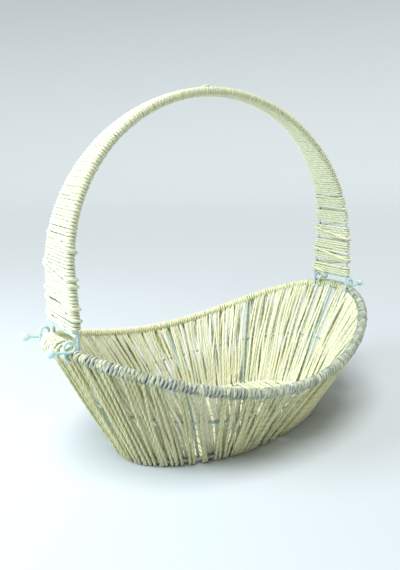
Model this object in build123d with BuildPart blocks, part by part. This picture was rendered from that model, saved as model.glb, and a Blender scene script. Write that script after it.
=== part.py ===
from build123d import *
import math
import os

# Flower girl basket. A painted wire frame of three rings and eight ribs carries a wide arched
# handle of two wires, and everything but the feet of the handle is bound with twisted paper cord.
# The origin is on the surface that the basket stands on, under the middle of the basket.
# +X runs along the basket, towards its right end, and +Y towards its back. Millimetres.

# Stock
rim_wire_dia = 2.5
frame_wire_dia = 2.0
cord_dia = 2.4
weld_gap = 0.1  # between wires that touch
cord_gap = 0.15  # between a cord and what it lies on
bore_gap = 0.3  # between a wire and the cord wound round it

# Rings, as half axes in plan, with the height at the sides and the rise towards the ends
rim = {"length": 150.0, "width": 95.7, "height": 64.2, "rise": 38.4}
middle_ring = {"length": 122.7, "width": 74.4, "height": 37.4, "rise": 13.6}
base_height = cord_dia + rim_wire_dia / 2
base_ring = {"length": 102.4, "width": 57.1, "height": base_height, "rise": 0.0}
end_fullness = 0.2  # how much of the rise comes early, on the way to an end
half_ring_runs = 40  # straight runs in half a ring

# Cord work
rim_cord_dia = 7.5
rim_cord_clearance = 1.0  # along the rim, on each side of a rib or a hook
bundles_per_bay = 6
strip_thickness = 2.8
outer_strip_width = (8.6, 7.2)  # at the rim and at the base
outer_strip_offset = (1.6, 1.35)  # out of the basket from the ring, at the rim and at the base
inner_strip_width = (7.4, 6.8, 6.2)  # at the rim, at the middle ring and at the base
inner_strip_offset = (-2.6, -3.4, -3.9)
inner_strip_drop = 1.2  # how much lower an inner bundle starts than an outer one
hook_strip_drop = 3.6  # how much lower an outer bundle starts beside a handle hook
strip_lean = 0.15  # of the space between two bundles, at the rim
floor_strip_width = 7.4
floor_strip_pitch = 9.6
floor_strip_count = 21
floor_margin = 0.8

# Handle
handle_half_length = 142.6
spring_line = 152.7  # height at which the legs become the arch
handle_top = 279.0
foot_height = 105.0
foot_half_width = 20.4
top_half_width = 3.2
taper_power = 1.42
handle_cord_bottom = 117.0
handle_cord_thickness = 6.6
crossbar_height = 114.0
crossbar_overhang = 3.6
arch_points = 25

# Hooks at the handle's feet: a turn under the rim, a loop above it and an arm with a ball
hook_turn_radius = 5.0
hook_turn_offset = 1.0  # the turn's centre stands outside the rim by this much, and half as much above it
hook_loop_radius = 3.4
hook_loop_rise = 6.0  # from the centre of the turn to the centre of the loop
hook_shift = 2.2  # how far the arm lies beside the leg
arm_reach = 162.0
arm_rise = 1.6
ball_dia = 6.3
ball_socket_depth = 1.2

bay_names = ("right_back", "back_right", "back_left", "left_back")
bay_names += ("left_front", "front_left", "front_right", "right_front")
rib_names = ("right", "back_right", "back", "back_left", "left", "front_left", "front", "front_right")
bay_count = len(bay_names)
bundle_count = bay_count * bundles_per_bay

os.makedirs("parts", exist_ok=True)


def save(piece, name):
    """Labels a finished piece and writes its STEP file."""
    piece.part.label = name
    export_step(piece.part, f"parts/{name}.step")


def ring_point(ring, angle):
    """A point on a ring's centreline, at an ellipse angle in radians from its right end."""
    rise = math.cos(angle) ** 2 * (1 + end_fullness * math.sin(angle) ** 2)
    x = ring["length"] * math.cos(angle)
    y = ring["width"] * math.sin(angle)
    return Vector(x, y, ring["height"] + ring["rise"] * rise)


def ring_tangent(ring, angle):
    """The ring's derivative by its ellipse angle, so its length is in millimetres per radian."""
    step = 0.001
    return (ring_point(ring, angle + step) - ring_point(ring, angle - step)) / (2 * step)


def outward(ring, angle):
    """The level direction that points out of the basket, square to the ring."""
    along = ring_tangent(ring, angle)
    return Vector(along.Y, -along.X, 0).normalized()


def angle_at(ring, share):
    """The ellipse angle at a share of the way round the ring, from its right end."""
    steps = 720
    points = [ring_point(ring, 2 * math.pi * i / steps) for i in range(steps + 1)]
    spans = [(b - a).length for a, b in zip(points, points[1:])]
    left = share * sum(spans)
    for i, span in enumerate(spans):
        if left <= span:
            return 2 * math.pi * (i + left / span) / steps
        left -= span
    return 2 * math.pi


def bent_wire(points, diameter):
    """A round wire along short straight runs, mitred where they meet."""
    with BuildPart() as wire:
        with BuildLine():
            Polyline(*points)
        with BuildSketch(Plane(origin=points[0], z_dir=points[1] - points[0])):
            Circle(diameter / 2)
        sweep(transition=Transition.RIGHT)
    return wire


def closed_ring(ring, diameter):
    """A wire bent into a closed ring, made as a back and a front half that meet in mid-run."""
    step = math.pi / half_ring_runs
    with BuildPart() as wire:
        for start in (0, math.pi):
            corners = [ring_point(ring, start + (i + 0.5) * step) for i in range(half_ring_runs)]
            before = ring_point(ring, start - 0.5 * step)
            after = ring_point(ring, start + (half_ring_runs + 0.5) * step)
            path = [(before + corners[0]) / 2, *corners, (corners[-1] + after) / 2]
            with BuildLine():
                Polyline(*path)
            with BuildSketch(Plane(origin=path[0], z_dir=path[1] - path[0])):
                Circle(diameter / 2)
            sweep(transition=Transition.RIGHT)
    return wire


# Rings
save(closed_ring(rim, rim_wire_dia), "rim_wire")
save(closed_ring(middle_ring, frame_wire_dia), "middle_ring_wire")
save(closed_ring(base_ring, rim_wire_dia), "base_ring_wire")


# Ribs: each lies against the inside of the three rings, bent where it passes the middle one.
def rib_stop(ring, share, wire_dia, slope):
    """Where a rib's centreline passes a ring, touching it on the inside."""
    angle = angle_at(ring, share)
    clear = (wire_dia + frame_wire_dia) / 2 + weld_gap
    return ring_point(ring, angle) - outward(ring, angle) * clear * math.hypot(1, slope)


def wall_slope(lower, upper, share):
    """How far the wall leans out, for each millimetre that it rises, between two rings."""
    low = ring_point(lower, angle_at(lower, share))
    high = ring_point(upper, angle_at(upper, share))
    return math.hypot(high.X - low.X, high.Y - low.Y) / (high.Z - low.Z)


for i, rib_name in enumerate(rib_names):
    share = i / bay_count
    upper_slope = wall_slope(middle_ring, rim, share)
    lower_slope = wall_slope(base_ring, middle_ring, share)
    rib_top = rib_stop(rim, share, rim_wire_dia, upper_slope)
    rib_bend = rib_stop(middle_ring, share, frame_wire_dia, upper_slope)
    rib_foot = rib_stop(base_ring, share, rim_wire_dia, lower_slope)
    save(bent_wire([rib_foot, rib_bend, rib_top], frame_wire_dia), f"rib_{rib_name}")


# Cord wound round the rim, as a sleeve that stops at each rib and on each side of a handle hook
hook_angle = math.asin((foot_half_width + hook_shift / 2) / rim["width"])
hook_gap = hook_shift + frame_wire_dia + rim_cord_clearance
rib_gap = frame_wire_dia + 2 * rim_cord_clearance


def angle_beyond(angle, distance):
    """The rim's ellipse angle a short distance further round it."""
    return angle + distance / ring_tangent(rim, angle).length


def sleeve_spans(start, end):
    """The angles between which one bay's sleeve runs, cut in two where a hook is in the bay."""
    spans = []
    lower = angle_beyond(start, rib_gap / 2)
    for hook in (hook_angle, math.pi - hook_angle, math.pi + hook_angle, 2 * math.pi - hook_angle):
        if start < hook < end:
            spans.append((lower, angle_beyond(hook, -hook_gap / 2)))
            lower = angle_beyond(hook, hook_gap / 2)
    return spans + [(lower, angle_beyond(end, -rib_gap / 2))]


for i, bay_name in enumerate(bay_names):
    bay_start = angle_at(rim, i / bay_count)
    bay_end = angle_at(rim, (i + 1) / bay_count)
    with BuildPart() as rim_cord:
        for first, last in sleeve_spans(bay_start, bay_end):
            with BuildLine() as sleeve_path:
                Spline(*[ring_point(rim, first + (last - first) * k / 6) for k in range(7)])
            with BuildSketch(Plane(origin=sleeve_path.line @ 0, z_dir=sleeve_path.line % 0)):
                Circle(rim_cord_dia / 2)
                Circle(rim_wire_dia / 2 + bore_gap, mode=Mode.SUBTRACT)
            sweep()
    save(rim_cord, f"rim_cord_{bay_name}")


# Cords of the wall: bundles of strands side by side, one layer outside the rings and one inside.
def strip_station(ring, share, offset, drop):
    """The plane of a bundle's section: x points out of the basket and y along the ring."""
    angle = angle_at(ring, share)
    out = outward(ring, angle)
    origin = ring_point(ring, angle) + out * offset - Vector(0, 0, drop)
    return Plane(origin=origin, x_dir=out, z_dir=out.cross(ring_tangent(ring, angle)))


def cord_strips(bay, layer_stations, widths):
    """All the bundles of one bay and layer. layer_stations gives the planes of a bundle's sections."""
    with BuildPart() as strips:
        for k in range(bundles_per_bay):
            share = (bay * bundles_per_bay + k + 0.5) / bundle_count
            for station, width in zip(layer_stations(share), widths):
                with BuildSketch(station):
                    Rectangle(strip_thickness, width)
            loft(ruled=True)
    return strips


rim_drop = rim_cord_dia / 2 + 2 * cord_gap
lean = strip_lean / bundle_count


def beside_hook(share):
    """True for a bundle whose top end is beside a handle hook."""
    return abs(abs(ring_point(rim, angle_at(rim, share)).Y) - foot_half_width) < outer_strip_width[0]


def outer_stations(share):
    """An outer bundle runs straight from under the rim to the floor, outside the base ring."""
    drop = rim_drop + (hook_strip_drop if beside_hook(share) else 0)
    top = strip_station(rim, share + lean, outer_strip_offset[0], drop)
    foot = strip_station(base_ring, share, outer_strip_offset[1], base_height)
    return top, foot


def inner_stations(share):
    """An inner bundle bends round the inside of the middle ring and stands on the floor cords."""
    top = strip_station(rim, share - lean, inner_strip_offset[0], rim_drop + inner_strip_drop)
    bend = strip_station(middle_ring, share, inner_strip_offset[1], 0)
    foot = strip_station(base_ring, share, inner_strip_offset[2], base_height - cord_dia - cord_gap)
    return top, bend, foot


for i, bay_name in enumerate(bay_names):
    save(cord_strips(i, outer_stations, outer_strip_width), f"outer_cords_{bay_name}")
    save(cord_strips(i, inner_stations, inner_strip_width), f"inner_cords_{bay_name}")

# Cords of the floor, which run across the basket under the base ring
with BuildPart() as floor_cords:
    with BuildSketch(Plane.XY):
        with GridLocations(floor_strip_pitch, 0, floor_strip_count, 1):
            Rectangle(floor_strip_width, 2 * base_ring["width"])
        Ellipse(base_ring["length"] - floor_margin, base_ring["width"] - floor_margin, mode=Mode.INTERSECT)
    extrude(amount=cord_dia)
save(floor_cords, "floor_cords")


# Handle: two wires, wide apart at the feet and side by side at the top.
def half_width_at(height):
    """Half the distance between the two handle wires."""
    share = max(0, (height - foot_height) / (handle_top - foot_height))
    return foot_half_width + (top_half_width - foot_half_width) * share**taper_power


def handle_point(angle):
    """The handle's middle line, from -90 degrees at the left springing to 90 at the right."""
    x = handle_half_length * math.sin(angle)
    z = spring_line + (handle_top - spring_line) * math.cos(angle)
    return Vector(x, 0, z)


def arch_line(side):
    """Points of one wire's arch, where side is -1 at the front and 1 at the back."""
    points = []
    for k in range(arch_points):
        middle = handle_point(math.radians(-90 + 180 * k / (arch_points - 1)))
        points.append(Vector(middle.X, side * half_width_at(middle.Z), middle.Z))
    return points


rim_at_hook = ring_point(rim, hook_angle)
turn_centre = Vector(rim_at_hook.X + hook_turn_offset, 0, rim_at_hook.Z + hook_turn_offset / 2)
loop_offset = hook_turn_radius - hook_loop_radius
loop_centre = turn_centre + Vector(loop_offset, 0, hook_loop_rise)


def hook_line(side):
    """Points from a right leg down round the rim, up into the loop and out along the arm."""
    inner_x = turn_centre.X - hook_turn_radius
    y = foot_half_width
    points = [Vector(inner_x, y, height) for height in (crossbar_height, turn_centre.Z + hook_turn_radius)]
    for degrees in (180, 225, 270, 315, 360):
        bend = Vector(math.cos(math.radians(degrees)), 0, math.sin(math.radians(degrees)))
        points.append(turn_centre + bend * hook_turn_radius + Vector(0, y, 0))
    for degrees in (0, 60, 120, 180, 240):
        bend = Vector(math.cos(math.radians(degrees)), 0, math.sin(math.radians(degrees)))
        shift = hook_shift * degrees / 240
        points.append(loop_centre + bend * hook_loop_radius + Vector(0, y + shift, 0))
    arm_height = loop_centre.Z - hook_loop_radius
    arm_end = arm_reach - ball_dia / 2 + ball_socket_depth
    points.append(Vector(loop_centre.X + hook_loop_radius / 2, y + hook_shift, arm_height))
    points.append(Vector(arm_end, y + hook_shift, arm_height + arm_rise))
    return [Vector(p.X, side * p.Y, p.Z) for p in points]


def mirrored(points):
    """The same points at the other end of the basket, in the opposite order."""
    return [Vector(-p.X, p.Y, p.Z) for p in reversed(points)]


for handle_name, side in (("front", -1), ("rear", 1)):
    half_path = hook_line(side)
    wire_path = mirrored(half_path) + arch_line(side) + half_path
    save(bent_wire(wire_path, frame_wire_dia), f"handle_{handle_name}_wire")

    for end_name, end in (("left", -1), ("right", 1)):
        before, arm_end = [Vector(end * p.X, p.Y, p.Z) for p in half_path[-2:]]
        way = (arm_end - before).normalized()
        with BuildPart(Plane(origin=arm_end + way * (ball_dia / 2 - ball_socket_depth), z_dir=way)) as ball:
            Sphere(ball_dia / 2)
            with BuildSketch(Plane(origin=arm_end, z_dir=-way)):
                Circle(frame_wire_dia / 2 + weld_gap)
            extrude(amount=ball_dia, mode=Mode.SUBTRACT)
        save(ball, f"ball_tip_{end_name}_{handle_name}")

# Crossbars that hold the two handle wires apart, just under the cord
for end_name, end in (("left", -1), ("right", 1)):
    bar_x = end * (handle_half_length + frame_wire_dia + weld_gap)
    bar_half = foot_half_width + crossbar_overhang
    with BuildPart() as crossbar:
        with BuildSketch(Plane(origin=(bar_x, -bar_half, crossbar_height), z_dir=(0, 1, 0))):
            Circle(frame_wire_dia / 2)
        extrude(amount=2 * bar_half)
    save(crossbar, f"crossbar_{end_name}")


# Cord wound round both handle wires, as a flattened sleeve
def sleeve_planes():
    """Planes square to the handle's middle line, from the left foot of the sleeve to the right."""
    planes = []
    leg_heights = (handle_cord_bottom, (handle_cord_bottom + spring_line) / 2)
    for height in leg_heights:
        planes.append(Plane(origin=(-handle_half_length, 0, height), x_dir=(0, 1, 0), z_dir=(0, 0, 1)))
    for k in range(arch_points):
        angle = math.radians(-90 + 180 * k / (arch_points - 1))
        rise = -(handle_top - spring_line) * math.sin(angle)
        run = handle_half_length * math.cos(angle)
        planes.append(Plane(origin=handle_point(angle), x_dir=(0, 1, 0), z_dir=(run, 0, rise)))
    for height in reversed(leg_heights):
        planes.append(Plane(origin=(handle_half_length, 0, height), x_dir=(0, 1, 0), z_dir=(0, 0, -1)))
    return planes


sleeve_bore_dia = frame_wire_dia + 4 * bore_gap
with BuildPart() as handle_cord:
    for thickness, mode in ((handle_cord_thickness, Mode.ADD), (sleeve_bore_dia, Mode.SUBTRACT)):
        for section in sleeve_planes():
            with BuildSketch(section):
                SlotCenterToCenter(2 * half_width_at(section.origin.Z), thickness)
        loft(mode=mode)
save(handle_cord, "handle_cord")
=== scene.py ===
"""Looks of the flower girl basket: twisted paper cord wound on a painted wire frame.

The CAD model is the frame. Every plain cord solid is replaced by real twisted strands, and the rings
and the handle wires by smooth ones. Lengths are in metres, and helper functions take and give numpy
arrays.
"""

import math

import bpy
import numpy as np
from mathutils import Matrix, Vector


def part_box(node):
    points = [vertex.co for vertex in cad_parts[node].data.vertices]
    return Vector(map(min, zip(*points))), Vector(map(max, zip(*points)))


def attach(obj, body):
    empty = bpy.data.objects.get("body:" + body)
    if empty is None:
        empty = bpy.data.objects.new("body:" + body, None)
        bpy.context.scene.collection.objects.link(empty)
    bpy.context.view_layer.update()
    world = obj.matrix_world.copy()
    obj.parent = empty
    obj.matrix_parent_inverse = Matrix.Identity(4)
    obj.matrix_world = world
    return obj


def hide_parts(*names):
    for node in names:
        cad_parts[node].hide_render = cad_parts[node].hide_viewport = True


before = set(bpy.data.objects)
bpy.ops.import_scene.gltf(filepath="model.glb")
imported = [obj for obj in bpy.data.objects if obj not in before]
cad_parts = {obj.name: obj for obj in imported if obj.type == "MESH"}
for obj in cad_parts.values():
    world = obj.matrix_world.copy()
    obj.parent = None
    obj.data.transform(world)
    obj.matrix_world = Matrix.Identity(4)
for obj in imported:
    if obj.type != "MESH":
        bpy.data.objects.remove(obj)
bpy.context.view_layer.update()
random = np.random.default_rng(11)

# Stock
RIM_WIRE = 0.00125  # radius of the wire of the rim and the base ring
FRAME_WIRE = 0.001  # radius of every other wire
CORD = 0.00118  # radius of the paper cord
LAY_LENGTH = 0.013  # length of one full twist of the cord
PLY_DEPTH = 0.11  # how deep the groove between the two plies is, as a share of the radius
SWELLING = 0.05  # how much a strand's thickness varies, as a share of the radius
SWELLING_RATE = 700  # radians per metre
TAPERED_END = 0.55  # size of a strand's end, as a share of its radius
STRAND_STEP = 0.0015  # distance between neighbouring rings of points on a strand

# Walls. The bays and the ribs go round the basket from its right end towards the back.
BUNDLES = 48  # in each of the wall's two layers
BAYS = ("right_back", "back_right", "back_left", "left_back",
        "left_front", "front_left", "front_right", "right_front")
RIBS = ("right", "back_right", "back", "back_left", "left", "front_left", "front", "front_right")

# Handle
SPRING_LINE = 0.1527  # height at which the upright legs end and the arch starts
FOOT_HEIGHT = 0.105
FOOT_HALF_WIDTH = 0.0204  # half the distance between the two wires at the feet
TOP_HALF_WIDTH = 0.0032
TAPER_POWER = 1.42
CROSSBAR_HEIGHT = 0.114
HANDLE_CORD_HALF = 0.0033  # half the thickness of the frame's handle_cord


# ---------------------------------------------------------------- shapes


def unit(vectors):
    """The same vectors, each one metre long."""
    return vectors / np.linalg.norm(vectors, axis=-1, keepdims=True)


def distances(points):
    """How far along a line each of its points is."""
    return np.concatenate([[0], np.cumsum(np.linalg.norm(np.diff(points, axis=0), axis=1))])


def looked_up(places, lengths, values):
    """Vectors at places along a line, between those at its points, which lie at these lengths."""
    return np.stack([np.interp(places, lengths, values[:, k]) for k in range(3)], 1)


def resampled(points, step):
    """The same line with its points evenly spaced."""
    lengths = distances(points)
    count = max(2, int(round(lengths[-1] / step)) + 1)
    return looked_up(np.linspace(0, lengths[-1], count), lengths, points)


def smooth_line(points, step):
    """A Catmull-Rom curve through the points, evenly spaced."""
    p = np.asarray(points, float)
    p = np.vstack([2 * p[0] - p[1], p, 2 * p[-1] - p[-2]])
    t = np.linspace(0, 1, 9)[:-1, None]
    spans = []
    for a, b, c, d in zip(p, p[1:], p[2:], p[3:]):
        spans.append(0.5 * (2 * b + (c - a) * t + (2 * a - 5 * b + 4 * c - d) * t**2
                            + (3 * b - a - 3 * c + d) * t**3))
    return resampled(np.vstack([*spans, p[-2:-1]]), step)


def carried_frames(points):
    """Two directions square to a line at each of its points, which turn as little as they can."""
    tangents = unit(np.gradient(points, axis=0))
    start = np.cross(tangents[0], (0.3, 0.2, 0.93))
    side = start / np.linalg.norm(start)
    sides = np.empty_like(points)
    for i, tangent in enumerate(tangents):
        side = side - tangent * side.dot(tangent)
        side = side / np.linalg.norm(side)
        sides[i] = side
    return sides, np.cross(tangents, sides)


def placed(name, data):
    """A new object in the scene."""
    obj = bpy.data.objects.new(name, data)
    bpy.context.scene.collection.objects.link(obj)
    return obj


class Tubes:
    """Gathers tubes along lines into one mesh.

    The mesh's strand attribute holds each point's distance along its tube, its place round the tube
    and a random number that is the tube's own.
    """

    def __init__(self):
        self.points, self.faces, self.marks = [], [], []
        self.count = 0

    def add(self, line, radius, sides=8, ply=0.0):
        """A tube along a line: a twisted two-ply strand if ply is above 0, or else a round wire."""
        first, second = carried_frames(line)
        n = len(line)
        along = distances(line)
        around = np.arange(sides) / sides
        own = random.random()
        turn = 2 * math.pi * (around[None] + (along / LAY_LENGTH if ply else 0 * along)[:, None] + own)
        size = radius * (1 + ply * np.cos(4 * math.pi * around))[None] * np.ones((n, 1))
        if ply:
            size = size * (1 + SWELLING * np.sin(along[:, None] * SWELLING_RATE + 20 * own))
        size[[0, -1]] *= TAPERED_END
        ring = line[:, None] + (np.cos(turn) * size)[..., None] * first[:, None]
        ring = ring + (np.sin(turn) * size)[..., None] * second[:, None]
        marks = np.empty((n, sides, 3))
        marks[..., 0], marks[..., 1], marks[..., 2] = along[:, None], around[None], own
        self.points.append(ring.reshape(-1, 3))
        self.marks.append(marks.reshape(-1, 3))
        base = self.count + np.arange(n - 1)[:, None] * sides
        k, m = np.arange(sides)[None], (np.arange(sides)[None] + 1) % sides
        quads = np.stack([base + k, base + m, base + sides + m, base + sides + k], -1).reshape(-1, 4)
        self.faces.extend(quads.tolist())
        last = self.count + (n - 1) * sides
        self.faces.append([self.count + i for i in reversed(range(sides))])
        self.faces.append([last + i for i in range(sides)])
        self.count += n * sides

    def piece(self, name, material, *nodes):
        """Makes the tubes one object on the root body, in place of these nodes of the frame."""
        mesh = bpy.data.meshes.new(name)
        mesh.from_pydata(np.vstack(self.points).tolist(), [], self.faces)
        mesh.attributes.new("strand", "FLOAT_VECTOR", "POINT").data.foreach_set(
            "vector", np.vstack(self.marks).astype(np.float32).ravel())
        mesh.shade_smooth()
        mesh.materials.append(material)
        obj = placed(name, mesh)
        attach(obj, "root")
        if nodes:
            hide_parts(*nodes)


class Ring:
    """One wire ring of the basket, read from its node's box. A share is of the way round."""

    def __init__(self, node, wire):
        low, high = (np.array(corner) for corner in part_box(node))
        self.half = (high - low)[:2] / 2 - wire
        self.height = low[2] + wire
        self.rise = high[2] - low[2] - 2 * wire
        self.angles = np.linspace(0, 2 * math.pi, 721)
        self.lengths = distances(self.point(self.angles))
        self.length = self.lengths[-1]

    def point(self, angle):
        """The wire's centre at an angle. The ring rises towards both ends."""
        c, s = np.cos(angle), np.sin(angle)
        z = self.height + self.rise * c**2 * (1 + 0.2 * s**2)
        return np.stack([self.half[0] * c, self.half[1] * s, z], -1)

    def outward(self, angle):
        """The level direction square to the ring, out of the basket."""
        c, s = np.cos(angle), np.sin(angle)
        return unit(np.stack([self.half[1] * c, self.half[0] * s, 0 * c], -1))

    def angle_at(self, share):
        """The angle at a share."""
        return np.interp((share % 1.0) * self.length, self.lengths, self.angles)

    def share_at(self, angle):
        """The share at an angle."""
        return np.interp(angle, self.angles, self.lengths) / self.length

    def beside(self, share, offset, lift):
        """The wire's centre at a share, moved out of the basket and up."""
        angle = self.angle_at(share)
        return self.point(angle) + self.outward(angle) * offset + np.array([0, 0, lift])


rim = Ring("rim_wire", RIM_WIRE)
middle_ring = Ring("middle_ring_wire", FRAME_WIRE)
base_ring = Ring("base_ring_wire", RIM_WIRE)


# ---------------------------------------------------------------- materials


def material(name):
    """A new material with its node tree and its Principled shader."""
    mat = bpy.data.materials.new(name)
    mat.use_nodes = True
    return mat, mat.node_tree, mat.node_tree.nodes["Principled BSDF"]


def ramp(tree, source, stops):
    """A colour ramp from a value."""
    node = tree.nodes.new("ShaderNodeValToRGB")
    elements = node.color_ramp.elements
    while len(elements) < len(stops):
        elements.new(0.5)
    for element, (place, colour) in zip(elements, stops):
        element.position = place
        element.color = (*colour, 1)
    tree.links.new(source, node.inputs["Fac"])
    return node.outputs["Color"]


def noise(tree, vector, scale, detail=3.0, rough=0.6):
    """A noise texture's value at a vector."""
    node = tree.nodes.new("ShaderNodeTexNoise")
    node.inputs["Scale"].default_value = scale
    node.inputs["Detail"].default_value = detail
    node.inputs["Roughness"].default_value = rough
    tree.links.new(vector, node.inputs["Vector"])
    return node.outputs["Fac"]


def scaled(tree, vector, scale):
    """A vector with each part multiplied."""
    node = tree.nodes.new("ShaderNodeVectorMath")
    node.operation = "MULTIPLY"
    node.inputs[1].default_value = scale
    tree.links.new(vector, node.inputs[0])
    return node.outputs["Vector"]


def mixed(tree, kind, amount, first, second):
    """Two colours mixed, where amount is a number or a socket."""
    node = tree.nodes.new("ShaderNodeMix")
    node.data_type = "RGBA"
    node.blend_type = kind
    factor, a, b = node.inputs[0], node.inputs[6], node.inputs[7]
    for socket, value in ((factor, amount), (a, first), (b, second)):
        if isinstance(value, bpy.types.NodeSocket):
            tree.links.new(value, socket)
        else:
            socket.default_value = value
    return node.outputs[2]


def bumped(tree, shader, height, strength, distance):
    """Feeds a height to the shader's normal."""
    node = tree.nodes.new("ShaderNodeBump")
    node.inputs["Strength"].default_value = strength
    node.inputs["Distance"].default_value = distance
    tree.links.new(height, node.inputs["Height"])
    tree.links.new(node.outputs["Normal"], shader.inputs["Normal"])


def paper_material(name, pale, deep, groove_shade):
    """Twisted paper: fibres and creases run along the strand, each strand has its own shade, and the ply
    grooves get painted shade.
    """
    mat, tree, shader = material(name)
    attribute = tree.nodes.new("ShaderNodeAttribute")
    attribute.attribute_name = "strand"
    strand = attribute.outputs["Vector"]
    parts = tree.nodes.new("ShaderNodeSeparateXYZ")
    tree.links.new(strand, parts.inputs[0])

    # Long patches from deep to pale, creased along the fibres.
    fibre = noise(tree, scaled(tree, strand, (160, 9, 37)), 1.0, 4.0, 0.7)
    blotch = noise(tree, scaled(tree, strand, (28, 1.0, 91)), 1.0, 2.0)
    colour = ramp(tree, blotch, ((0.25, deep), (0.62, pale)))
    creases = ramp(tree, fibre, ((0.30, (0.72, 0.72, 0.66)), (0.52, (1, 1, 1))))
    colour = mixed(tree, "MULTIPLY", 0.55, colour, creases)

    # Each strand's own shade.
    own = ramp(tree, parts.outputs["Z"],
               ((0.0, (0.90, 0.91, 0.88)), (0.5, (1, 1, 1)), (1.0, (1.0, 0.97, 0.88))))
    colour = mixed(tree, "MULTIPLY", 1.0, colour, own)

    # Painted shade in the two grooves between the plies, a quarter of the way round from each ply's
    # crown.
    from_crown = tree.nodes.new("ShaderNodeMath")
    from_crown.operation = "PINGPONG"
    from_crown.inputs[1].default_value = 0.25
    tree.links.new(parts.outputs["Y"], from_crown.inputs[0])
    painted_groove_shade = ramp(tree, from_crown.outputs[0],
                ((0.0, (1, 1, 1)), (0.16, (0.97, 0.97, 0.94)), (0.25, groove_shade)))
    colour = mixed(tree, "MULTIPLY", 0.8, colour, painted_groove_shade)
    tree.links.new(colour, shader.inputs["Base Color"])

    rough = ramp(tree, fibre, ((0.3, (0.62,) * 3), (0.7, (0.86,) * 3)))
    tree.links.new(rough, shader.inputs["Roughness"])
    shader.inputs["Subsurface Weight"].default_value = 0.35
    shader.inputs["Subsurface Radius"].default_value = (1.0, 0.95, 0.6)
    shader.inputs["Subsurface Scale"].default_value = 0.0016
    shader.inputs["Sheen Weight"].default_value = 0.25
    shader.inputs["Sheen Roughness"].default_value = 0.5
    bumped(tree, shader, fibre, 0.55, 0.0004)
    return mat


def paint_material(name, colour, dark, gloss):
    """Gloss paint on wire: faint orange peel, slightly thinner and darker in places."""
    mat, tree, shader = material(name)
    place = tree.nodes.new("ShaderNodeTexCoord").outputs["Object"]
    patches = noise(tree, place, 260, 3.0)
    tree.links.new(ramp(tree, patches, ((0.35, dark), (0.62, colour))), shader.inputs["Base Color"])
    rough = ramp(tree, noise(tree, place, 900, 2.0), ((0.3, (gloss,) * 3), (0.7, (gloss + 0.14,) * 3)))
    tree.links.new(rough, shader.inputs["Roughness"])
    shader.inputs["Coat Weight"].default_value = 0.35
    shader.inputs["Coat Roughness"].default_value = 0.12
    bumped(tree, shader, noise(tree, place, 1400, 2.0), 0.15, 0.0002)
    return mat


# Each paper has its pale and its deep colour, and the painted shade its grooves are multiplied by.
handle_paper = paper_material("paper_handle", (0.88, 0.90, 0.68), (0.84, 0.83, 0.54), (0.70, 0.71, 0.54))
inner_paper = paper_material("paper_inner", (0.93, 0.95, 0.76), (0.92, 0.88, 0.56), (0.82, 0.81, 0.62))
# The outer wall's strands are the same paper as the inner wall's, made darker and olive as painted shade
# for the wall's outside, which faces down away from the light.
shaded_outer_paper = paper_material("paper_outer_painted_shade", (0.79, 0.79, 0.51), (0.70, 0.66, 0.34), (0.50, 0.50, 0.28))
# The rim's paper is the same paper again, made grey-dark with near-black grooves as painted shade for
# the rim's front half.
shaded_rim_paper = paper_material("paper_rim_painted_shade", (0.58, 0.63, 0.54), (0.30, 0.34, 0.27), (0.08, 0.10, 0.07))

# Each paint has its own colour, a darker one for where it is thin, and its roughness.
# The frame's paint is a greyer green than the hooks', and it is also darkened as painted shade for the
# rings that lie in shade.
frame_paint_and_shade = paint_material("painted_frame_and_shade", (0.46, 0.58, 0.50), (0.34, 0.45, 0.37), 0.30)
hook_paint = paint_material("painted_hook", (0.60, 0.80, 0.80), (0.48, 0.68, 0.68), 0.26)
ball_paint = paint_material("painted_ball", (0.64, 0.85, 0.86), (0.54, 0.76, 0.78), 0.16)


# ---------------------------------------------------------------- walls

RIM_TURN = RIM_WIRE + CORD + 0.0001  # radius at which wall strands bend over the rim wire
RIM_WINDING = RIM_TURN + 0.0006  # the turns round the rim press into the strand ends under them
BASE_TURN = RIM_WIRE + CORD
BARE_RIBS = ("right", "back_right", "left", "front_left")  # the inner bundles leave a gap at these
BARE_GAP = 0.035  # how far the nearest bundle moves away from a bare rib, as a share of a bay
LEAN = 0.24 / BUNDLES  # how far round the rim a bundle's top is shifted, as a share of the way
FOOT_LEAN = 0.6 * LEAN  # how far its foot is shifted the other way
OUTER_END = 0.004  # how far inside the base ring's wire an outer strand ends
INNER_LANDING = BASE_TURN + 0.0016  # how far inside it an inner strand comes down on the floor
INNER_END = 0.0075  # how far inside it that strand ends
BAY_BUNDLES = BUNDLES // len(BAYS)


def jitter(size):
    """A random amount on either side of 0, mostly within this size."""
    return random.normal(0, size)


def around_ring(ring, share, radius, degrees):
    """Points of a strand that bends round a ring's wire, at angles up from straight outward."""
    return [ring.beside(share, radius * math.cos(math.radians(d)), radius * math.sin(math.radians(d)))
            for d in degrees]


def outer_strand(top, foot):
    """From over the rim, straight down outside the rings and under the base ring."""
    over_rim = around_ring(rim, top, RIM_TURN + abs(jitter(0.0002)), (140, 100, 60, 20, -20))
    start, end = over_rim[-1], base_ring.beside(foot, BASE_TURN + 0.0006, 0.001)
    bow = np.array([jitter(0.0009), jitter(0.0009), jitter(0.0004)])
    between = [start + (end - start) * t + bow * math.sin(math.pi * t) for t in (0.2, 0.4, 0.6, 0.8)]
    under = around_ring(base_ring, foot, BASE_TURN, (-20, -60, -90))
    return [*over_rim, *between, end, *under, base_ring.beside(foot, -OUTER_END, -BASE_TURN)]


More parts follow.
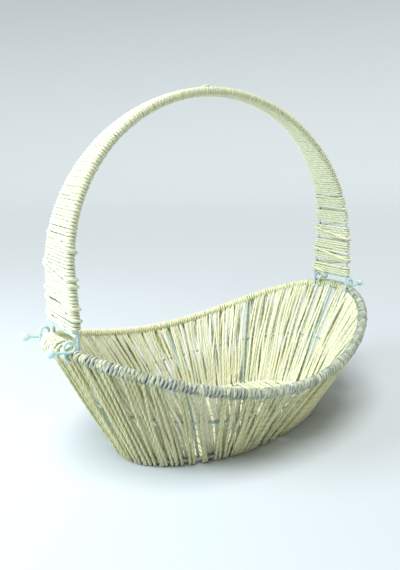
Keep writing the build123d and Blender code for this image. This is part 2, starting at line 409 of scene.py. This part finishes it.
def inner_strand(top, bend, foot, inside):
    """From over the rim, down past the middle ring, inside or outside it, and inside the base ring."""
    over_rim = around_ring(rim, top, RIM_TURN + abs(jitter(0.0002)), (40, 80, 120, 160, 200))
    clear = FRAME_WIRE + CORD + abs(jitter(0.0003))
    if beside_rib(bend):
        clear, inside = clear + 2 * FRAME_WIRE, True
    mid = middle_ring.beside(bend, -clear if inside else 0.7 * clear, jitter(0.0004))
    start, end = over_rim[-1], base_ring.beside(foot, -BASE_TURN - abs(jitter(0.0006)), 0.0022)
    bow = np.array([jitter(0.0008), jitter(0.0008), 0])
    upper = [start + (mid - start) * t + bow * math.sin(math.pi * t) for t in (0.3, 0.6, 0.9)]
    lower = [mid + (end - mid) * t - bow * math.sin(math.pi * t) for t in (0.1, 0.4, 0.7)]
    landing = base_ring.beside(foot, -INNER_LANDING, 0.0)
    return [*over_rim, *upper, *lower, end, landing, base_ring.beside(foot, -INNER_END, -0.0006)]


def bundle_share(bay, k, gap):
    """A bundle's share of the way round. The bundles of a bay crowd together beside a bare rib."""
    place = (k + 0.5) / BAY_BUNDLES
    after, before = RIBS[bay] in BARE_RIBS, RIBS[(bay + 1) % len(RIBS)] in BARE_RIBS
    place += gap * (after * (1 - place) - before * place)
    return (bay + place) / len(BAYS) + jitter(0.0007)


def beside_rib(share):
    """True where a strand would run into a rib."""
    from_rib = abs(share * len(RIBS) - round(share * len(RIBS))) / len(RIBS)
    return from_rib * middle_ring.length < FRAME_WIRE + CORD


def outer_bundles(bay):
    """Two to four strands to a bundle, and now and then a single strand in the gap beside it."""
    rim_spacing, base_spacing = 0.0025 / rim.length, 0.0028 / base_ring.length
    strands = Tubes()
    for k in range(BAY_BUNDLES):
        share = bundle_share(bay, k, 0)
        count = int(random.choice((2, 2, 3, 3, 4)))
        places = [j - (count - 1) / 2 for j in range(count)]
        if random.random() < 0.4:
            places.append((count / 2 + 1.2) * random.choice((-1, 1)))
        for side in places:
            top = share + LEAN + side * rim_spacing + jitter(0.0007)
            foot = share - FOOT_LEAN + side * base_spacing + jitter(0.0015)
            strands.add(smooth_line(outer_strand(top, foot), STRAND_STEP), CORD, ply=PLY_DEPTH)
    return strands


def inner_bundles(bay):
    """Five to seven strands to a bundle, most of them inside the middle ring."""
    rim_spacing, base_spacing = 0.0023 / rim.length, 0.0017 / base_ring.length
    middle_spacing = 0.0020 / middle_ring.length
    strands = Tubes()
    for k in range(BAY_BUNDLES):
        share = bundle_share(bay, k, BARE_GAP)
        count = int(random.choice((5, 6, 6, 7)))
        for j in range(count):
            side = j - (count - 1) / 2
            top = share - LEAN + side * rim_spacing + jitter(0.0008)
            bend = share + side * middle_spacing + jitter(0.0011)
            foot = share + FOOT_LEAN + side * base_spacing + jitter(0.0016)
            inside = random.random() < 0.72
            line = smooth_line(inner_strand(top, bend, foot, inside), STRAND_STEP)
            strands.add(line, CORD, ply=PLY_DEPTH)
    return strands


for bay, bay_name in enumerate(BAYS):
    outer_bundles(bay).piece(f"outer_strands_{bay_name}", shaded_outer_paper, f"outer_cords_{bay_name}")
    inner_bundles(bay).piece(f"inner_strands_{bay_name}", inner_paper, f"inner_cords_{bay_name}")


# ---------------------------------------------------------------- floor

SHORTEST_HALF = 0.006  # half the length of the shortest floor strand


def floor_half_length(x):
    """How far a floor strand reaches to each side of the basket's middle."""
    half_x, half_y = base_ring.half[0] - 0.002, base_ring.half[1] - 0.0045
    return half_y * math.sqrt(max(0.0, 1 - (x / half_x) ** 2))


def floor_layer(strands, height, slant, spacing, ply, loose):
    """A row of strands across the basket. A loose row has gaps and strands that lift a little."""
    reach = base_ring.half[0] - 0.005
    for x in np.arange(-reach, reach, spacing):
        x = x + jitter(0.0003)
        y = floor_half_length(x)
        if y < SHORTEST_HALF or (loose and random.random() < 0.10):
            continue
        middle = height + (abs(jitter(0.0002)) if loose else 0.0)
        line = [(x - slant / 2, -y, height), (x - slant / 5, -y / 2, middle),
                (x + slant / 5, y / 2, middle), (x + slant / 2, y, height)]
        strands.add(smooth_line(line, 0.002), CORD, ply=ply)


floor_cords = Tubes()
floor_layer(floor_cords, CORD, 0.0, 0.00245, 0.08, loose=False)
floor_layer(floor_cords, 3 * CORD - 0.0003, 0.006, 0.00285, PLY_DEPTH, loose=True)
floor_cords.piece("floor_strands", inner_paper, "floor_cords")


# ---------------------------------------------------------------- windings

RIM_PITCH = 0.0027  # from one turn round the rim to the next
RIM_CORD = 0.93 * CORD  # the rim's turns are drawn tight


def wandering(count, width):
    """A run of random numbers about 0, each the mean of as many neighbours as the width."""
    return np.convolve(random.normal(0, 1, count), np.ones(width) / width, "same")


def wound(centre, outs, ups, radius, pitch, phase=0.0, wander=0.6):
    """A helix round a line, given the two directions square to it at each of its points.

    Its turns stray by part of wander, which is an angle in radians.
    """
    lengths = distances(centre)
    samples = int(lengths[-1] / pitch * 14)
    places = np.linspace(0, lengths[-1], samples)
    turn = 2 * math.pi * places / pitch + phase + wander * wandering(samples, 25)
    reach = radius * (1 + 0.15 * wandering(samples, 9))
    centre, outs, ups = (looked_up(places, lengths, values) for values in (centre, outs, ups))
    return centre + outs * (reach * np.cos(turn))[:, None] + ups * (reach * np.sin(turn))[:, None]


def rim_span(first, last):
    """The rim's centreline and the two directions square to it, between two angles."""
    angles = np.linspace(first, last, 200)
    centre, outs = rim.point(angles), rim.outward(angles)
    return centre, outs, unit(np.cross(outs, unit(np.gradient(centre, axis=0))))


hook_angle = math.asin((FOOT_HALF_WIDTH + 0.0011) / rim.half[1])
metres_per_radian = np.linalg.norm(rim.point(hook_angle + 0.001) - rim.point(hook_angle)) / 0.001
hook_margin = 0.0024 / metres_per_radian
hooks = [hook_angle, math.pi - hook_angle, math.pi + hook_angle, 2 * math.pi - hook_angle]

# The rim's own winding stops on both sides of each hook.
back_winding, front_winding = Tubes(), Tubes()
for winding, start, end in ((back_winding, hooks[3] - 2 * math.pi, hooks[0]),
                            (back_winding, hooks[0], hooks[1]),
                            (back_winding, hooks[1], hooks[2]),
                            (front_winding, hooks[2], hooks[3])):
    centre, outs, ups = rim_span(start + hook_margin, end - hook_margin)
    winding.add(wound(centre, outs, ups, RIM_WINDING, RIM_PITCH), RIM_CORD, ply=0.10)
back_winding.piece("rim_winding_back", handle_paper, *[f"rim_cord_{name}" for name in BAYS[:4]])
# The front half of the rim winding takes the darker rim paper: painted shade on that side of the rim.
front_winding.piece("rim_winding_front", shaded_rim_paper, *[f"rim_cord_{name}" for name in BAYS[4:]])

# Two looser layers lie over it between the left hooks, the upper one shorter than the lower.
thick_winding = Tubes()
centre, outs, ups = rim_span(math.pi - hook_angle * 0.82, math.pi + hook_angle * 0.82)
thick_winding.add(wound(centre, outs, ups, 0.0047, RIM_PITCH, wander=1.2), CORD, ply=0.12)
centre, outs, ups = centre[30:-30], outs[30:-30], ups[30:-30]
thick_winding.add(wound(centre, outs, ups, 0.0062, 0.0031, 1.0, 1.6), CORD, ply=0.12)
thick_winding.piece("left_end_winding", handle_paper)

HANDLE_TURN = FRAME_WIRE + CORD + 0.0001  # radius at which the cord bends over a handle wire
WINDING_FOOT = 0.1162  # height at which the handle's winding starts, just above the crossbars
CLOSE_PITCH = 0.00228  # from one turn of the handle's winding to the next, where they touch
LEG_GAPS = (  # 1 for the right leg or -1 for the left, height of the gap, its size
    (1, 0.1265, 0.0060), (1, 0.138, 0.0042), (1, 0.152, 0.0050), (1, 0.167, 0.0062),
    (1, 0.182, 0.0048), (1, 0.194, 0.0036), (-1, 0.122, 0.0030), (-1, 0.134, 0.0025),
)
CROSSING_TURNS = (  # start and end as shares of the handle from its left foot, pitch, phase in turns
    (0.0, 0.11, 0.019, 0.1), (0.0, 0.13, 0.023, 0.6), (0.9, 1.0, 0.021, 0.3),
)
handle_cord_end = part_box("handle_cord")[1]
handle_top = handle_cord_end[2] - HANDLE_CORD_HALF
handle_half_length = handle_cord_end[0] - HANDLE_CORD_HALF


def half_width_at(height):
    """Half the distance between the two handle wires."""
    share = np.clip((height - FOOT_HEIGHT) / (handle_top - FOOT_HEIGHT), 0, 1)
    return FOOT_HALF_WIDTH + (TOP_HALF_WIDTH - FOOT_HALF_WIDTH) * share**TAPER_POWER


def handle_line(low):
    """The handle's middle line from this height on the left leg to the same on the right one."""
    legs = np.linspace(low, SPRING_LINE, 30)[:-1]
    angles = np.linspace(-math.pi / 2, math.pi / 2, 400)
    left = np.stack([0 * legs - handle_half_length, 0 * legs, legs], 1)
    arch = np.stack([handle_half_length * np.sin(angles), 0 * angles,
                     SPRING_LINE + (handle_top - SPRING_LINE) * np.cos(angles)], 1)
    right = left[::-1] * (-1, 1, 1)
    return resampled(np.vstack([left, arch, right]), 0.0006)


def racetrack(turns, half_width, radius):
    """Places across and out on a flat loop round two wires, after each number of turns."""
    straight = 2 * half_width
    bend = math.pi * radius
    place = (turns % 1.0) * 2 * (straight + bend)
    across, out = np.empty_like(place), np.empty_like(place)
    for k in range(2):
        flip = 1 - 2 * k
        d = place - k * (straight + bend)
        on_straight = (d >= 0) & (d < straight)
        on_bend = (d >= straight) & (d < straight + bend)
        angle = math.pi / 2 - (d - straight) / radius
        across[on_straight] = (flip * (d - half_width))[on_straight]
        out[on_straight] = (flip * radius)[on_straight]
        across[on_bend] = (flip * (half_width + radius * np.cos(angle)))[on_bend]
        out[on_bend] = (flip * radius * np.sin(angle))[on_bend]
    return across, out


def handle_winding(line, pitch, radius, phase=0.0):
    """A flat helix round both handle wires, with its pitch given at each point of the handle."""
    lengths = distances(line)
    turns = np.concatenate([[0], np.cumsum(np.diff(lengths) / pitch[1:])])
    fine = np.linspace(0, turns[-1], int(turns[-1] * 44))
    places = np.interp(fine, turns, lengths)
    tangent = unit(np.gradient(line, axis=0))
    outward = np.stack([-tangent[:, 2], np.zeros(len(line)), tangent[:, 0]], 1)
    centre, along, outward = (looked_up(places, lengths, values) for values in (line, tangent, outward))
    loose = 0.0001 * np.abs(wandering(len(fine), 15))
    across, out = racetrack(fine + phase, half_width_at(centre[:, 2]), radius + loose)
    centre[:, 1] += across
    drift = 0.0009 * wandering(len(fine), 40)
    return centre + outward * out[:, None] + along * drift[:, None]


def pitch_of_cord(line):
    """Close turns, with open gaps on the lower legs."""
    pitch = np.full(len(line), CLOSE_PITCH)
    for end, height, size in LEG_GAPS:
        near = (np.sign(line[:, 0]) == end) & (np.abs(line[:, 2] - height) < size / 2)
        pitch[near] = size * 1.4
    return pitch


windings = Tubes()
handle = handle_line(WINDING_FOOT)
close_turns = handle_winding(handle, pitch_of_cord(handle), HANDLE_TURN)
windings.add(resampled(close_turns, STRAND_STEP), CORD, ply=PLY_DEPTH)
for first, last, pitch, phase in CROSSING_TURNS:
    leg = handle[int(first * len(handle)):int(last * len(handle))]
    crossing = handle_winding(leg, np.full(len(leg), pitch), HANDLE_TURN + 0.0013, phase)
    windings.add(resampled(crossing, STRAND_STEP), CORD, ply=PLY_DEPTH)

# One end of the cord comes down from the right leg to the rim beside the rear hook,
# and one end stands up at the top.
tail_share = rim.share_at(hook_angle * 0.88)
leg_face = handle_half_length - HANDLE_TURN
tail = [(leg_face, 0.002, WINDING_FOOT + 0.004), (leg_face - 0.0006, 0.006, WINDING_FOOT - 0.0005),
        (leg_face + 0.0006, 0.011, CROSSBAR_HEIGHT - 0.0035),
        *around_ring(rim, tail_share, RIM_TURN, (150, 100, 40, -30, -100))]
windings.add(smooth_line(tail, STRAND_STEP), CORD, ply=PLY_DEPTH)
loose_end = [(-0.030, 0.0, handle_top - 0.0052), (-0.025, -0.001, handle_top - 0.0006),
             (-0.020, -0.0016, handle_top + 0.0026), (-0.0155, -0.002, handle_top + 0.0032)]
windings.add(smooth_line(loose_end, STRAND_STEP), 0.8 * CORD, ply=PLY_DEPTH)
windings.piece("handle_winding", handle_paper, "handle_cord")


# ---------------------------------------------------------------- wires

WIRE_SIDES = 12
TURN_RADIUS = 0.005  # of a hook's turn under the rim
LOOP_RADIUS = 0.0034  # of the loop outside the rim
LOOP_SHIFT = 0.0022  # how far sideways the loop carries the wire
LOOP_DEGREES = 240


def hook_points(side):
    """A right leg's hook: down inside the rim, under it, up into a loop and out along the arm."""
    rim_x, _, rim_z = rim.point(hook_angle)
    turn_x, turn_z = rim_x + 0.001, rim_z + 0.0005
    loop_x, loop_z = turn_x + TURN_RADIUS - LOOP_RADIUS, turn_z + 0.006
    y = FOOT_HALF_WIDTH
    points = [(turn_x - TURN_RADIUS, y, z) for z in (CROSSBAR_HEIGHT, turn_z + 0.004)]
    for degrees in range(180, 361, 45):
        a = math.radians(degrees)
        points.append((turn_x + TURN_RADIUS * math.cos(a), y, turn_z + TURN_RADIUS * math.sin(a)))
    for degrees in range(0, LOOP_DEGREES + 1, 60):
        a = math.radians(degrees)
        points.append((loop_x + LOOP_RADIUS * math.cos(a), y + LOOP_SHIFT * degrees / LOOP_DEGREES,
                       loop_z + LOOP_RADIUS * math.sin(a)))
    ball_x, _, ball_z = np.mean(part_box("ball_tip_right_rear"), axis=0)
    points.append((loop_x + 0.0015, y + LOOP_SHIFT, loop_z - LOOP_RADIUS))
    points.append((ball_x, y + LOOP_SHIFT, ball_z))
    return np.array(points) * (1, side, 1)


for name, side in (("front", -1), ("rear", 1)):
    right_hook = hook_points(side)
    left_hook = right_hook[::-1] * (-1, 1, 1)
    middle = handle_line(CROSSBAR_HEIGHT + 0.004)[::12]
    middle[:, 1] = side * half_width_at(middle[:, 2])
    wire = Tubes()
    wire.add(smooth_line(np.vstack([left_hook, middle, right_hook]), 0.0008), FRAME_WIRE, WIRE_SIDES)
    wire.piece(f"handle_{name}_smooth_wire", hook_paint, f"handle_{name}_wire")

for node, ring, radius in (("rim_wire", rim, RIM_WIRE),
                           ("middle_ring_wire", middle_ring, FRAME_WIRE),
                           ("base_ring_wire", base_ring, RIM_WIRE)):
    wire = Tubes()
    wire.add(ring.point(np.linspace(0, 2 * math.pi, 361)), radius, WIRE_SIDES)
    wire.piece(f"smooth_{node}", frame_paint_and_shade, node)

# The other wires and the balls stay as they are in the frame, painted.
for node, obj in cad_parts.items():
    for start, paint in (("rib_", frame_paint_and_shade), ("crossbar_", hook_paint), ("ball_tip_", ball_paint)):
        if node.startswith(start):
            obj.data.materials.clear()
            obj.data.materials.append(paint)


# ---------------------------------------------------------------- studio


def pale_backdrop():
    """A level floor that curves up far away, the same all round."""
    reach, curve, sides = 2.6, 2.2, 96
    profile = [(reach, 0.0)]
    profile += [(reach + curve * math.sin(a), curve * (1 - math.cos(a)))
                for a in np.linspace(0.1, math.pi / 2, 14)]
    points = [(r * math.cos(a), r * math.sin(a), z) for r, z in profile
              for a in np.arange(sides) * 2 * math.pi / sides]
    faces = [list(range(sides))]
    for ring in range(len(profile) - 1):
        for k in range(sides):
            a, b = ring * sides + k, ring * sides + (k + 1) % sides
            faces.append([a, a + sides, b + sides, b])
    mesh = bpy.data.meshes.new("floor")
    mesh.from_pydata(points, [], faces)
    mesh.shade_smooth()
    mat, _, shader = material("floor_pale")
    shader.inputs["Base Color"].default_value = (0.60, 0.63, 0.64, 1)
    shader.inputs["Roughness"].default_value = 0.9
    mesh.materials.append(mat)
    floor = placed("floor", mesh)


def aimed(name, data, place, way):
    """A lamp or camera at a place, which looks along a direction."""
    obj = placed(name, data)
    obj.location = place
    obj.rotation_euler = way.to_track_quat("-Z", "Y").to_euler()
    return obj


def area_light(name, place, target, size, power, colour):
    """A square soft light that faces a point."""
    data = bpy.data.lights.new(name, "AREA")
    data.size, data.energy, data.color = size, power, colour
    aimed(name, data, place, Vector(target) - Vector(place))


def sun_light(name, way_up, softness, strength, colour):
    """An even light from far away, where softness is its width in degrees."""
    data = bpy.data.lights.new(name, "SUN")
    data.angle, data.energy, data.color = math.radians(softness), strength, colour
    aimed(name, data, way_up, -Vector(way_up))


pale_backdrop()
sun_light("top", (-0.30, -0.20, 1.0), 30, 2.75, (0.97, 1.0, 1.02))
area_light("side", (-0.72, 0.22, 0.46), (-0.1, 0, 0.14), 0.36, 5.6, (0.86, 1.0, 1.18))
world = bpy.data.worlds.new("studio")
world.use_nodes = True
background = world.node_tree.nodes["Background"]
background.inputs["Color"].default_value = (0.95, 0.98, 0.94, 1)
background.inputs["Strength"].default_value = 0.30
bpy.context.scene.world = world
bpy.context.scene.view_settings.view_transform = "Standard"

camera_data = bpy.data.cameras.new("camera")
camera_data.sensor_width = 36
camera_data.lens = 33.2
camera_data.shift_x = -0.048
camera_data.shift_y = 0.006
yaw, tilt = math.radians(49.95), math.radians(-13.24)
ahead = Vector((math.cos(yaw) * math.cos(tilt), math.sin(yaw) * math.cos(tilt), math.sin(tilt)))
camera = aimed("camera", camera_data, (-0.2794, -0.3373, 0.2235), ahead)
bpy.context.scene.camera = camera
